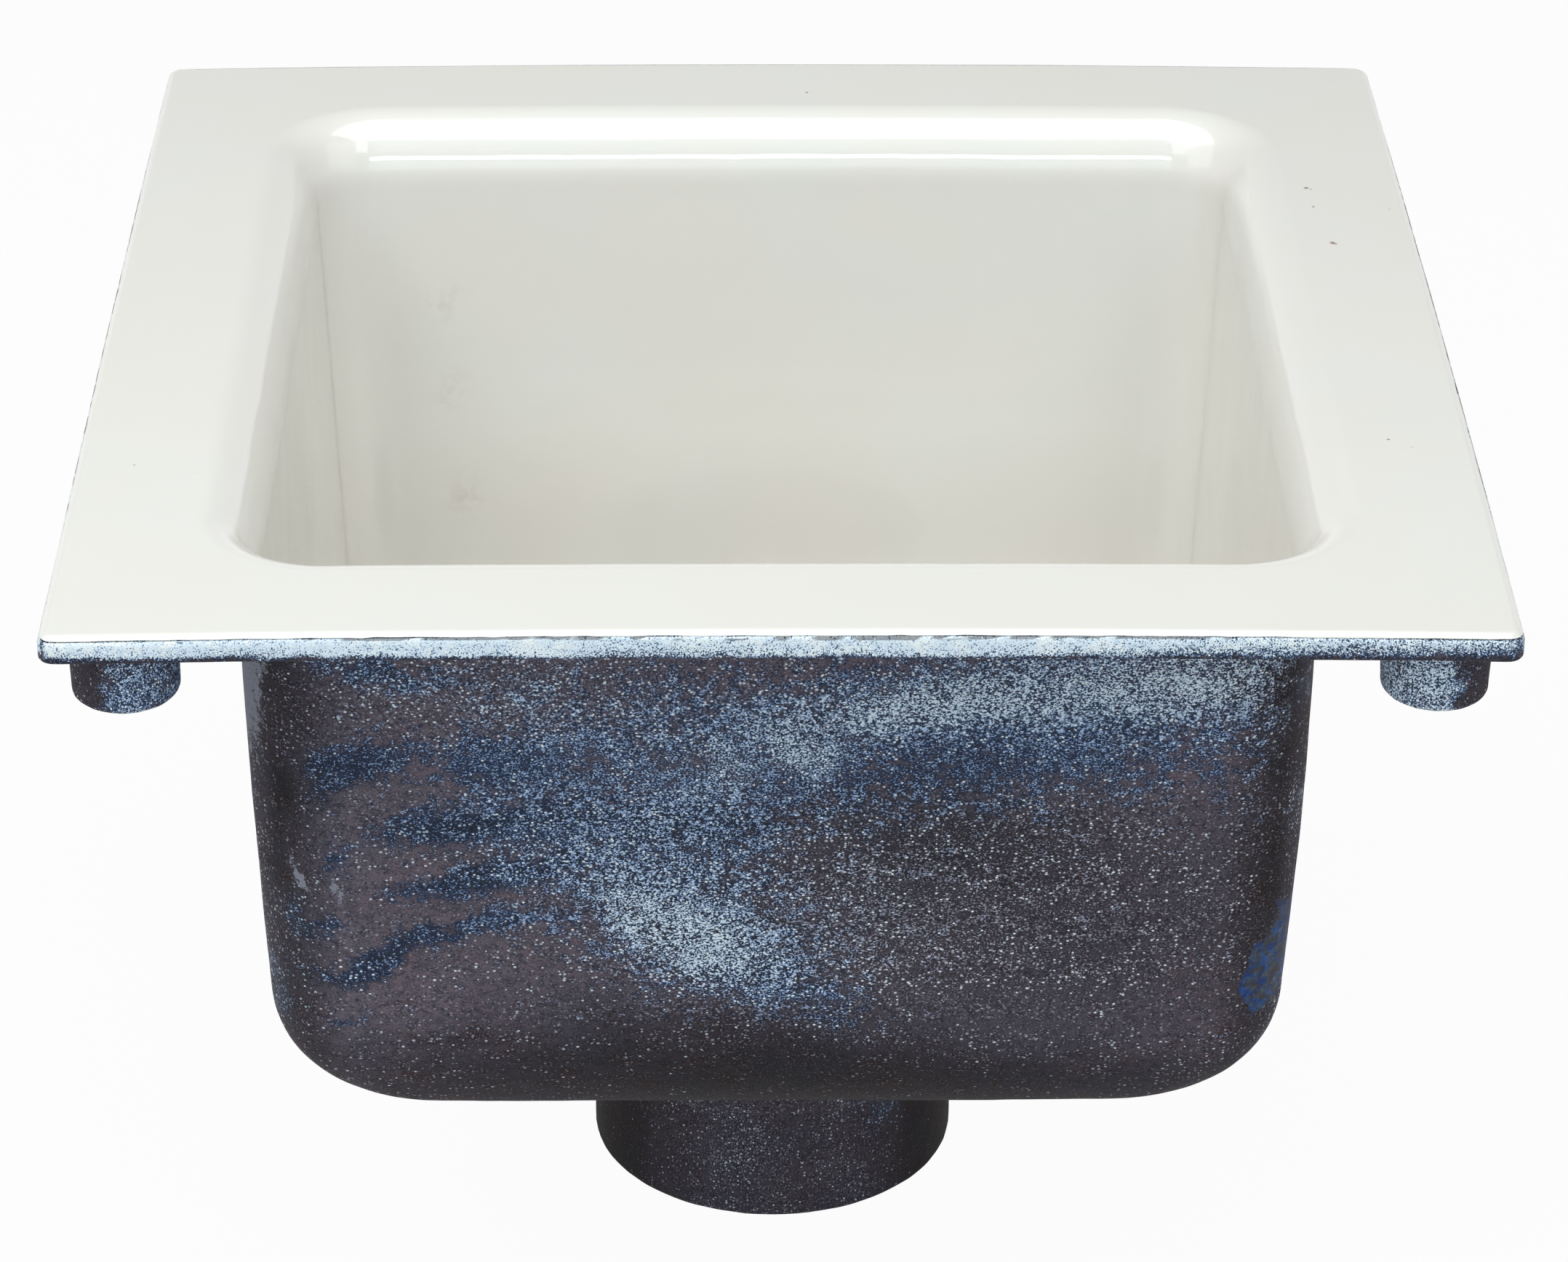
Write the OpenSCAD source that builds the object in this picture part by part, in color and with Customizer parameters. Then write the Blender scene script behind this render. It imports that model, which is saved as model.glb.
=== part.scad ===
// Square cast iron floor sink: an iron flange, bowl and outlet with a fused
// enamel coat on the top and inside, four lugs under the flange's corners, and
// a loose perforated strainer that drops into a seat in the floor.
// The origin is the centre of the spigot's lower end, +Z is up and the side
// that faces the viewer is -Y.

/* [Flange] */
// Outside width of the square flange
flange_w = 304.8; // [288:0.1:340]
// Thickness of the flange's iron
flange_t = 5.6; // [4:0.1:8]
// Radius of the flange's outside corners
flange_corner_r = 4; // [1:0.5:10]

/* [Basin] */
// Width between the walls just under the lip
opening_w = 222.2; // [200:0.1:230]
// Depth from the top face to the floor around the outlet
basin_depth = 152.4; // [120:0.1:200]
// Width over which the top face rolls over into a wall
lip_w = 13; // [5:0.1:15]
// Depth over which it does so
lip_h = 17; // [6:0.1:22]
// Draft of the walls inside, in degrees
wall_draft = 2.5; // [0.5:0.1:4]
// Radius between the walls and the floor inside
floor_r = 32; // [20:0.5:40]
// Fall of the floor towards the outlet, in degrees
floor_fall = 3; // [1:0.5:5]

/* [Bowl casting] */
// Iron thickness of the wall at the top
wall_t = 4.5; // [3.5:0.1:8]
// Iron thickness of the floor at the outlet
floor_t = 4.4; // [4:0.1:9]
// Radius where the bowl meets the flange's underside
flange_root_r = 4; // [2:0.5:7]
// Outside radius of the bowl's upright corners
bowl_corner_r = 21; // [14:0.5:40]
// How far the outside has drawn in where the bottom curve starts
outside_taper = 3; // [0:0.1:3.8]
// Outside radius between the walls and the bottom
bottom_r = 39; // [26:0.5:46]

/* [Enamel] */
// Thickness of the fused enamel coat
enamel_t = 0.8; // [0.5:0.1:1.4]
// How far the coat runs down the throat below the strainer's ledge
throat_coat_h = 8; // [3:0.5:15]

/* [Outlet] */
// Length of the outlet below the bowl's underside
outlet_len = 61.5; // [45:0.5:110]
// Height of the thick collar at the top of the outlet
collar_h = 28.5; // [18:0.5:36]
// Outside diameter of the collar
collar_d = 100; // [94:0.5:120]
// Radius where the collar meets the bowl
collar_root_r = 5; // [2:0.5:9]
// Outside diameter of the spigot that the pipe coupling grips
spigot_d = 87.9; // [84:0.1:93]
// Bore of the outlet
bore_d = 76.2; // [66:0.1:78]

/* [Corner lugs] */
// Diameter of a lug
lug_d = 23.7; // [16:0.1:30]
// Length of a lug below the flange
lug_h = 15; // [8:0.5:30]
// Distance from the flange's edges to a lug's centre
lug_inset = 16.4; // [15:0.1:18]
// Radius of a lug's lower edge
lug_edge_r = 2.2; // [0.5:0.1:4]

/* [Strainer] */
// Width of the ledge that the strainer rests on
ledge_w = 5.2; // [3.5:0.1:6]
// Gap between the strainer's edge and its seat
strainer_gap = 0.6; // [0.4:0.1:1.5]
// Thickness of the strainer
strainer_t = 3.2; // [2:0.1:3.8]
// Diameter of a drain hole in the strainer
drain_hole_d = 5.6; // [3:0.1:6.4]
// Rings of drain holes round the middle one
drain_rings = 4; // [2:1:4]
// Land left between the outer ring of holes and the bore
strainer_land = 0.9; // [0.5:0.1:4]
// Chamfer on the strainer's edges
strainer_edge = 0.5; // [0.2:0.1:0.8]

/* [Hidden] */
CORNER_STEPS = 12;
LIP_STEPS = 10;
ROOT_STEPS = 5;
WALL_STEPS = 4;
FILLET_STEPS = 12;
ROUND_FN = 120;
HOLE_FN = 32;
// Room by which a cut runs past the face that it opens
CUT = 1;

// Heights, from the spigot's end up
spigot_len = outlet_len - collar_h;
bowl_bottom_z = outlet_len;
floor_z = bowl_bottom_z + floor_t + enamel_t;
top_z = floor_z + basin_depth;
iron_top_z = top_z - enamel_t;
flange_under_z = iron_top_z - flange_t;
root_end_z = flange_under_z - flange_root_r;
ledge_z = bowl_bottom_z + enamel_t;

// Half widths and radii
flange_half = flange_w / 2;
opening_half = opening_w / 2;
bowl_half = opening_half + enamel_t + wall_t;
basin_corner_r = max(bowl_corner_r - wall_t - enamel_t, 4);
bore_r = bore_d / 2;
coat_bore_r = bore_r + enamel_t;
seat_r = bore_r + ledge_w;
seat_hole_r = seat_r + enamel_t;
lug_place = flange_half - lug_inset;

// The flat ring of floor round the seat, which is nearly a circle
FLAT_MARGIN = 8;
FLAT_ROUNDNESS = 0.9;
flat_half = seat_hole_r + FLAT_MARGIN;

// Strainer
strainer_r = seat_r - strainer_gap;
hole_reach = bore_r - strainer_land - drain_hole_d / 2;
ring_pitch = hole_reach / drain_rings;
HOLES_PER_RING_STEP = 6;

// The basin's section, from the lip down to the floor. The floor's curve is
// tangent to the leaning wall and to the falling floor, so its centre lies one
// radius from both.
lip_end = 90 - wall_draft;
wall_x = opening_half + lip_out(lip_end, 0);
wall_z = top_z - lip_drop(lip_end, 0);
fall_drop = floor_z - wall_z + floor_r / cos(floor_fall) - flat_half * tan(floor_fall);
curve_lean = wall_x * cos(wall_draft) + sin(wall_draft) * fall_drop - floor_r;
curve_x = curve_lean / (cos(wall_draft) - tan(floor_fall) * sin(wall_draft));
curve_rise = floor_r + (curve_x - flat_half) * sin(floor_fall);
curve_z = floor_z + curve_rise / cos(floor_fall);

// One level ring of a rounded square: half width a, corner radius c, height z
function ring(a, c, z) = [
    for (side = [0 : 3])
        for (i = [0 : CORNER_STEPS])
            let (
                turn = 90 * (side + i / CORNER_STEPS),
                middle = 90 * side + 45,
                reach = (a - c) * sqrt(2)
            )
            [reach * cos(middle) + c * cos(turn), reach * sin(middle) + c * sin(turn), z]
];

// A closed solid through rings that are listed from the top down
module loft(levels) {
    count = 4 * (CORNER_STEPS + 1);
    last = len(levels) - 1;
    points = [for (level = levels) each ring(level[0], level[1], level[2])];
    top = [[for (i = [count - 1 : -1 : 0]) i]];
    bottom = [[for (i = [0 : count - 1]) last * count + i]];
    walls = [
        for (k = [0 : last - 1])
            for (i = [0 : count - 1])
                let (
                    next = (i + 1) % count,
                    a = k * count + i,
                    b = k * count + next,
                    c = (k + 1) * count + next,
                    d = (k + 1) * count + i
                )
                each [[a, b, c], [a, c, d]]
    ];
    polyhedron(points = points, faces = concat(top, walls, bottom), convexity = 6);
}

// The lip's section is a quarter of an ellipse. Where it leans by lean from
// level, these give how far out from the opening and how far below the top
// face it is, pushed out by off into the iron.
function lip_turn(lean) = atan2(lip_w * sin(lean), lip_h * cos(lean));
function lip_out(lean, off) = lip_w * (1 - sin(lip_turn(lean))) + off * sin(lean);
function lip_drop(lean, off) = lip_h * (1 - cos(lip_turn(lean))) + off * cos(lean);

// Rings of the basin's surface, pushed out by off into the iron
function basin_levels(off, mouth_z) = [
    [opening_half + lip_w, basin_corner_r + lip_w, mouth_z],
    for (i = [0 : LIP_STEPS])
        let (lean = lip_end * i / LIP_STEPS, out = lip_out(lean, off))
        [opening_half + out, basin_corner_r + out, top_z - lip_drop(lean, off)],
    for (i = [1 : WALL_STEPS])
        let (share = i / WALL_STEPS)
        [
            wall_x + off * cos(wall_draft) + (curve_start_x() - wall_x) * share,
            basin_corner_r + off * cos(wall_draft),
            wall_z - off * sin(wall_draft) + (curve_start_z() - wall_z) * share
        ],
    for (i = [1 : FILLET_STEPS])
        let (turn = wall_draft + (90 - floor_fall - wall_draft) * i / FILLET_STEPS)
        [
            curve_x + (floor_r + off) * cos(turn),
            basin_corner_r + off * cos(turn),
            curve_z - (floor_r + off) * sin(turn)
        ],
    [flat_half, flat_half * FLAT_ROUNDNESS, floor_z - off]
];

// Where the straight wall ends and the floor's curve starts
function curve_start_x() = curve_x + floor_r * cos(wall_draft);
function curve_start_z() = curve_z - floor_r * sin(wall_draft);

// Rings of the bowl's outside, from the flange down to the flat bottom
function bowl_levels() = [
    for (i = [0 : ROOT_STEPS - 1])
        let (turn = 90 * i / ROOT_STEPS, out = flange_root_r * (1 - sin(turn)))
        [bowl_half + out, bowl_corner_r + out, flange_under_z - flange_root_r * (1 - cos(turn))],
    for (i = [0 : WALL_STEPS])
        let (share = i / WALL_STEPS, fall = root_end_z - bowl_bottom_z - bottom_r)
        [bowl_half - outside_taper * share * share, bowl_corner_r, root_end_z - fall * share],
    for (i = [1 : FILLET_STEPS])
        let (turn = 90 * i / FILLET_STEPS)
        [
            bowl_half - outside_taper - bottom_r * (1 - cos(turn)),
            bowl_corner_r,
            bowl_bottom_z + bottom_r * (1 - sin(turn))
        ]
];

// Flat plate with the flange's outline, standing on z = 0
module flange_plate(height) {
    straight = flange_w - 2 * flange_corner_r;
    corner = flange_half - flange_corner_r;
    linear_extrude(height) {
        square([flange_w, straight], center = true);
        square([straight, flange_w], center = true);
        for (x = [-corner, corner], y = [-corner, corner])
            translate([x, y])
                circle(flange_corner_r, $fn = ROUND_FN);
    }
}

module rim_flange() {
    color("#49474d")
        difference() {
            translate([0, 0, flange_under_z])
                flange_plate(flange_t);
            loft(basin_levels(enamel_t, top_z + CUT));
        }
}

module bowl_shell() {
    color("#413c42")
        difference() {
            loft(bowl_levels());
            loft(basin_levels(enamel_t, top_z + CUT));
            translate([0, 0, bowl_bottom_z - CUT])
                cylinder(h = floor_t + 2 * CUT, r = seat_hole_r, $fn = ROUND_FN);
        }
}

// Points of the concave curve at the collar's root, from the bowl down
function root_curve() = [
    for (i = [0 : FILLET_STEPS])
        let (turn = 90 * i / FILLET_STEPS)
        [
            collar_d / 2 + collar_root_r * (1 - sin(turn)),
            bowl_bottom_z - collar_root_r * (1 - cos(turn))
        ]
];

module outlet_collar() {
    coat_end_z = bowl_bottom_z - throat_coat_h;
    color("#3b353a")
        rotate_extrude($fn = ROUND_FN)
            polygon(concat(
                root_curve(),
                [
                    [collar_d / 2, spigot_len],
                    [bore_r, spigot_len],
                    [bore_r, coat_end_z],
                    [coat_bore_r, coat_end_z],
                    [coat_bore_r, bowl_bottom_z]
                ]
            ));
}

module outlet_spigot() {
    color("#332e33")
        difference() {
            cylinder(h = spigot_len, d = spigot_d, $fn = ROUND_FN);
            translate([0, 0, -CUT])
                cylinder(h = spigot_len + 2 * CUT, d = bore_d, $fn = ROUND_FN);
        }
}

// A lug hangs from the flange's underside, with a rounded lower edge
module corner_lug(side_x, side_y) {
    radius = lug_d / 2;
    low_z = flange_under_z - lug_h;
    lower_edge = [
        for (i = [0 : FILLET_STEPS])
            let (turn = 90 * i / FILLET_STEPS)
            [radius - lug_edge_r * (1 - sin(turn)), low_z + lug_edge_r * (1 - cos(turn))]
    ];
    color("#464a55")
        translate([side_x * lug_place, side_y * lug_place, 0])
            rotate_extrude($fn = ROUND_FN)
                polygon(concat(
                    [[0, low_z]],
                    lower_edge,
                    [[radius, flange_under_z], [0, flange_under_z]]
                ));
}

// The part of the coat that lines the seat, the ledge and the throat
module throat_coat() {
    coat_end_z = bowl_bottom_z - throat_coat_h;
    rotate_extrude($fn = ROUND_FN)
        polygon([
            [bore_r, coat_end_z],
            [coat_bore_r, coat_end_z],
            [coat_bore_r, bowl_bottom_z],
            [seat_hole_r, bowl_bottom_z],
            [seat_hole_r, floor_z - enamel_t / 2],
            [seat_r, floor_z - enamel_t / 2],
            [seat_r, ledge_z],
            [bore_r, ledge_z]
        ]);
}

module enamel_coat() {
    color("#ecebe4") {
        difference() {
            union() {
                translate([0, 0, iron_top_z])
                    flange_plate(enamel_t);
                loft(basin_levels(enamel_t, top_z));
            }
            loft(basin_levels(0, top_z + CUT));
            translate([0, 0, floor_z - enamel_t - CUT])
                cylinder(h = enamel_t + 2 * CUT, r = seat_r, $fn = ROUND_FN);
        }
        throat_coat();
    }
}

// A flat perforated disc with chamfered edges and rings of drain holes
module drain_strainer() {
    high_z = ledge_z + strainer_t;
    color("#a9abad")
        difference() {
            rotate_extrude($fn = ROUND_FN)
                polygon([
                    [0, ledge_z],
                    [strainer_r - strainer_edge, ledge_z],
                    [strainer_r, ledge_z + strainer_edge],
                    [strainer_r, high_z - strainer_edge],
                    [strainer_r - strainer_edge, high_z],
                    [0, high_z]
                ]);
            for (circle_no = [0 : drain_rings])
                let (holes = max(1, HOLES_PER_RING_STEP * circle_no))
                for (i = [0 : holes - 1])
                    rotate(360 * i / holes)
                        translate([ring_pitch * circle_no, 0, ledge_z - CUT])
                            cylinder(h = strainer_t + 2 * CUT, d = drain_hole_d, $fn = HOLE_FN);
        }
}

rim_flange();
bowl_shell();
outlet_collar();
outlet_spigot();
corner_lug(-1, -1);  // corner_lug_front_left
corner_lug(1, -1);  // corner_lug_front_right
corner_lug(-1, 1);  // corner_lug_back_left
corner_lug(1, 1);  // corner_lug_back_right
enamel_coat();
drain_strainer();
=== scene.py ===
"""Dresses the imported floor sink: sand-cast iron dusted with enamel frit, a glossy off-white
enamel coat over the rim and basin, and a drilled strainer on its ledge in the floor."""

from math import atan, atan2, cos, pi, radians, sin, tan
from types import SimpleNamespace

import bpy
import numpy as np
from mathutils import Matrix, Vector, noise
from mathutils.geometry import delaunay_2d_cdt


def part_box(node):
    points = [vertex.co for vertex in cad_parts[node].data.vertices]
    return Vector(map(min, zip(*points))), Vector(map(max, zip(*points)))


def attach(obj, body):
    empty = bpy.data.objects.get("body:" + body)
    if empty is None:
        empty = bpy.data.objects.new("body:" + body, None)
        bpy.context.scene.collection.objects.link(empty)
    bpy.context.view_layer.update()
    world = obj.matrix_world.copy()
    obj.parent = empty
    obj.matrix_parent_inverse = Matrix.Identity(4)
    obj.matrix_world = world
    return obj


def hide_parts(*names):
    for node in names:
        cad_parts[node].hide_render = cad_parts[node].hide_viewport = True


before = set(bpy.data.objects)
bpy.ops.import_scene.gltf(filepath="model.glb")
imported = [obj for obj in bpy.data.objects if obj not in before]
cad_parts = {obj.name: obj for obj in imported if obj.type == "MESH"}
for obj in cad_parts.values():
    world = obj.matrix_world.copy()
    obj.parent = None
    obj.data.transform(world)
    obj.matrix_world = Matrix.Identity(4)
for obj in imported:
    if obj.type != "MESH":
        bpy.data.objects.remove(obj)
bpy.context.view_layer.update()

MM = 0.001

# Places and sizes that the frame gives
flange_low, flange_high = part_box("rim_flange")
coat_low, coat_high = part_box("enamel_coat")
bowl_low, bowl_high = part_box("bowl_shell")
collar_low, collar_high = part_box("outlet_collar")
spigot_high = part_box("outlet_spigot")[1]
strainer_low, strainer_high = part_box("drain_strainer")
HALF = flange_high.x
TOP = coat_high.z
IRON_TOP = flange_high.z
FLANGE_UNDER = flange_low.z
BOWL_BOTTOM = bowl_low.z
ROOT_FILLET = 4 * MM
BOWL_HALF = bowl_high.x - ROOT_FILLET
COAT = TOP - IRON_TOP
COAT_END = coat_low.z
LEDGE = strainer_low.z
STRAINER_GAP = 0.6 * MM
SEAT_R = strainer_high.x + STRAINER_GAP

# Basin, in the sizes of the CAD source
OPENING_HALF = 111.1 * MM
BASIN_DEPTH = 152.4 * MM
LIP_W = 13 * MM
LIP_H = 17 * MM
BASIN_CORNER = 15.7 * MM
WALL_DRAFT = radians(2.5)
FLOOR_FALL = radians(3)
FLOOR_R = 32 * MM
FLOOR_Z = TOP - BASIN_DEPTH
FLAT_HALF = 52.1 * MM
BORE_R = 38.1 * MM
SEAT_EDGE = 0.6 * MM
SEAT_FOOT = 0.5 * MM
THROAT_EDGE = 0.3 * MM

# The run of glaze beside the lip, by its depth under the rim
RUN_DEPTH = 4.1 * MM
RUN_WANDER = 0.5 * MM
RUN_HALF = 0.75 * MM
RUN_HEIGHT = 0.16 * MM

# Flange and bowl
FLANGE_CORNER = 4 * MM
LEAST_CORNER = 0.8 * MM
ROLL_R = 2.6 * MM
ROLL_END = radians(50)
IRON_ROLL_START = radians(30)
IRON_ROLL_END = radians(58)
UNDER_EDGE = 1.0 * MM
BOWL_CORNER = 21 * MM
BOWL_TAPER = 3 * MM
BOTTOM_R = 39 * MM
CORNER_DROP = 1.3 * MM
EDGE_WANDER = 0.25 * MM
RAGGED_EDGE = 0.24 * MM
COAT_GAP = 0.02 * MM
RING_GAP = 0.3 * MM

# Outlet
COLLAR_ROOT_R = 5 * MM
COLLAR_R = collar_high.x - COLLAR_ROOT_R
SPIGOT_R = spigot_high.x
SPIGOT_TOP = collar_low.z
STEP_R = 1.6 * MM

# Lugs
LUG_ROOT_R = 1.6 * MM
LUG_EDGE = 2.2 * MM
LUG_TAPER = 0.35 * MM
LUG_POINTS = 112

# Strainer
DRAIN_HOLE_R = 2.8 * MM
DRAIN_MARGIN = 0.9 * MM
DRAIN_RINGS = 4
RING_PITCH = (BORE_R - DRAIN_MARGIN - DRAIN_HOLE_R) / DRAIN_RINGS
HOLE_EDGE = 0.4 * MM
STRAINER_EDGE = 0.6 * MM
STRAINER_POINTS = 160
HOLE_POINTS = 28

# Points round a level of the casting and round a circle. A corner gets its share of them as
# if its radius were larger by CORNER_SHARE, so that a sharp one has enough.
LEVEL_POINTS = 480
CIRCLE_POINTS = 192
CORNER_SHARE = 12 * MM


# Meshes

def level(half, corner, height, count=LEVEL_POINTS):
    """One level loop round a rounded square; a circle where corner equals half."""
    straight = half - corner
    bend = corner + CORNER_SHARE
    run = np.linspace(0, straight + bend * pi / 4, count // 8 + 1)
    turn = np.clip(run - straight, 0, None) / bend
    along = np.minimum(run, straight) + corner * np.sin(turn)
    out = straight + corner * np.cos(turn)
    first = np.stack([out, along], axis=1)
    quarter = np.concatenate([first[:-1], first[:0:-1, ::-1]])
    sides = [quarter]
    for _ in range(3):
        x, y = sides[-1].T
        sides.append(np.stack([-y, x], axis=1))
    flat = np.concatenate(sides)
    return np.column_stack([flat, np.full(len(flat), height)])


def circle(radius, height, count=CIRCLE_POINTS):
    return level(radius, radius, height, count)


def ruled(first, last, count):
    """Loops that lead straight from one (half, corner, height) to another, past the first."""
    return [level(*row) for row in np.linspace(first, last, count + 1)[1:]]


def new_object(name, data):
    made = bpy.data.objects.new(name, data)
    bpy.context.scene.collection.objects.link(made)
    return made


def piece_from(name, points, faces):
    """A smooth-shaded mesh object with its normals outward."""
    mesh = bpy.data.meshes.new(name)
    corners = [points[[face[i] for face in faces]] for i in range(3)]
    volume = np.einsum("ij,ij->", corners[0], np.cross(corners[1], corners[2]))
    if volume < 0:
        faces = [face[::-1] for face in faces]
    mesh.from_pydata(points.tolist(), [], faces)
    mesh.polygons.foreach_set("use_smooth", [True] * len(mesh.polygons))
    mesh.update()
    return new_object(name, mesh)


def band_faces(levels, count, closed):
    """Quads between neighbouring loops; the last loop meets the first if closed."""
    start = np.arange(levels * count).reshape(levels, count)
    across = np.roll(start, -1, axis=1)
    rows = levels if closed else levels - 1
    quads = [start, across, np.roll(across, -1, axis=0), np.roll(start, -1, axis=0)]
    return np.stack([q[:rows] for q in quads], axis=-1).reshape(-1, 4).tolist()


def ring_solid(name, rings):
    """A closed solid with a hole through it, from loops that lead round its section."""
    points = settle(np.concatenate(rings))
    return piece_from(name, points, band_faces(len(rings), len(rings[0]), True))


def capped_solid(name, rings):
    """A closed solid from loops, with a fan of triangles over each end."""
    rings = [settle(ring) for ring in rings]
    count = len(rings[0])
    points = np.concatenate(rings + [rings[0].mean(0)[None], rings[-1].mean(0)[None]])
    first, last = len(points) - 2, len(points) - 1
    top = (len(rings) - 1) * count
    faces = band_faces(len(rings), count, False)
    for i in range(count):
        j = (i + 1) % count
        faces.append((first, j, i))
        faces.append((last, top + i, top + j))
    return piece_from(name, points, faces)


def places(piece, wanted="co"):
    flat = np.zeros(len(piece.data.vertices) * 3)
    piece.data.vertices.foreach_get(wanted, flat)
    return flat.reshape(-1, 3)


def directions(piece):
    return places(piece, "normal")


def move(piece, points):
    piece.data.vertices.foreach_set("co", points.ravel())
    piece.data.update()


# Noise and soft steps, and what they do to a skin

def swell(points, size, shift, octaves=1):
    """Smooth noise from about -1 to 1, with bumps of that size."""
    away = Vector((shift, 3.7 * shift, -2.3 * shift))
    return np.array([noise.fractal(Vector(p) / size + away, 1.0, 2.0, octaves) for p in points])


def hills(points, size, shift, octaves=1):
    """The same noise from about 0 to 1."""
    return 0.5 + 0.5 * swell(points, size, shift, octaves)


def step(values, low, high):
    share = np.clip((values - low) / (high - low), 0, 1)
    return share * share * (3 - 2 * share)


def side_reach(points):
    """How far each point lies from the sink's axis, square to the nearest side."""
    return abs(points[:, :2]).max(axis=1)


def rounding(size, count):
    """Pairs round a quarter circle: the first falls from size to 0 as the second rises."""
    turns = np.linspace(0, pi / 2, count)
    return [(size * (1 - sin(turn)), size * (1 - cos(turn))) for turn in turns]


def settle(points):
    """The casting's slight warp: its corners hang a little low and its edges wander."""
    x, y, z = points.T
    near_rim = step(z, TOP - 80 * MM, TOP - 20 * MM)
    drop = CORNER_DROP * (x / HALF) ** 2 * (y / HALF) ** 2 * near_rim
    edge = step(side_reach(points), HALF - 12 * MM, HALF - 2 * MM)
    away = 1 - EDGE_WANDER * hills(points * (1, 1, 0), 45 * MM, 2.1) * edge / HALF
    return np.column_stack([x * away, y * away, z - drop])


def roughen(piece, layers, share):
    """Sinks a casting's skin by noise layers of (size, depth) in mm, times each point's share."""
    points, normals = places(piece), directions(piece)
    depth = np.zeros(len(points))
    for number, (size, amount) in enumerate(layers):
        depth += amount * MM * np.clip(hills(points, size * MM, 5.3 + number), 0, 1)
    move(piece, points - normals * (depth * share)[:, None])


def paint(piece, **fields):
    """Stores one number a vertex under each name, for the materials to read."""
    count = len(piece.data.vertices)
    for name, values in fields.items():
        layer = piece.data.attributes.new(name, "FLOAT", "POINT")
        layer.data.foreach_set("value", np.full(count, values, np.float32))


# The basin's section, as the CAD source works it out

def lip_point(tilt, off):
    """Half width outside the opening and depth below the top, where the lip leans by tilt."""
    turn = atan2(LIP_W * sin(tilt), LIP_H * cos(tilt))
    out = LIP_W * (1 - sin(turn)) + off * sin(tilt)
    return out, LIP_H * (1 - cos(turn)) + off * cos(tilt)


def lip_ring_at(height, off):
    """The loop of the lip's surface, pushed out by off, at one height."""
    tilts = np.linspace(0, pi / 2 - WALL_DRAFT, 200)
    outs, downs = np.array([lip_point(tilt, off) for tilt in tilts]).T
    out = float(np.interp(TOP - height, downs, outs))
    return level(OPENING_HALF + out, BASIN_CORNER + out, height)


def basin_rings(off, lip_steps, wall_steps, curve_steps, floor_steps):
    """Loops of the basin's surface from the lip down, pushed out by off into the iron."""
    wall_tilt = pi / 2 - WALL_DRAFT
    wall_cos, wall_sin = cos(WALL_DRAFT), sin(WALL_DRAFT)
    fall_cos, fall_sin = cos(FLOOR_FALL), sin(FLOOR_FALL)
    fall_tan = tan(FLOOR_FALL)
    rings = []
    for turn in np.linspace(0, 1, lip_steps + 1):
        tilt = atan(tan(wall_tilt) * turn ** 2.2) if turn < 1 else wall_tilt
        out, down = lip_point(tilt, off)
        rings.append(level(OPENING_HALF + out, BASIN_CORNER + out, TOP - down))
    out, down = lip_point(wall_tilt, 0)
    wall_x, wall_z = OPENING_HALF + out, TOP - down
    # The curve's centre, where it touches both the drafted wall and the falling floor
    drop = FLOOR_Z - wall_z + FLOOR_R / fall_cos - FLAT_HALF * fall_tan
    lean = wall_x * wall_cos + wall_sin * drop - FLOOR_R
    curve_x = lean / (wall_cos - fall_tan * wall_sin)
    rise = FLOOR_R + (curve_x - FLAT_HALF) * fall_sin
    curve_z = FLOOR_Z + rise / fall_cos
    start_x = curve_x + FLOOR_R * wall_cos
    start_z = curve_z - FLOOR_R * wall_sin
    push_x, push_z = off * wall_cos, off * wall_sin
    wall_low = start_x + push_x, BASIN_CORNER + push_x, start_z - push_z
    rings += ruled((wall_x + push_x, wall_low[1], wall_z - push_z), wall_low, wall_steps)
    for share in np.linspace(0, 1, curve_steps + 1)[1:]:
        turn = WALL_DRAFT + (pi / 2 - FLOOR_FALL - WALL_DRAFT) * share
        half = curve_x + (FLOOR_R + off) * cos(turn)
        height = curve_z - (FLOOR_R + off) * sin(turn)
        rings.append(level(half, BASIN_CORNER + off * cos(turn), height))
    end_x = curve_x + (FLOOR_R + off) * fall_sin
    floor_edge = end_x, BASIN_CORNER, FLOOR_Z + (end_x - FLAT_HALF) * fall_tan - off
    return rings + ruled(floor_edge, (FLAT_HALF, 0.9 * FLAT_HALF, FLOOR_Z - off), floor_steps)


def roll_radius(turn):
    """Radius of the iron's rounded top edge, which comes out to the face lower down."""
    return ROLL_R - COAT * (1 - step(np.array(turn), IRON_ROLL_START, IRON_ROLL_END))


def edge_level(radius, turn):
    """A loop on the flange's rolled top edge."""
    out = radius * sin(turn) - ROLL_R
    height = TOP - ROLL_R + radius * cos(turn)
    return level(HALF + out, max(FLANGE_CORNER + out, LEAST_CORNER), height)


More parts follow.
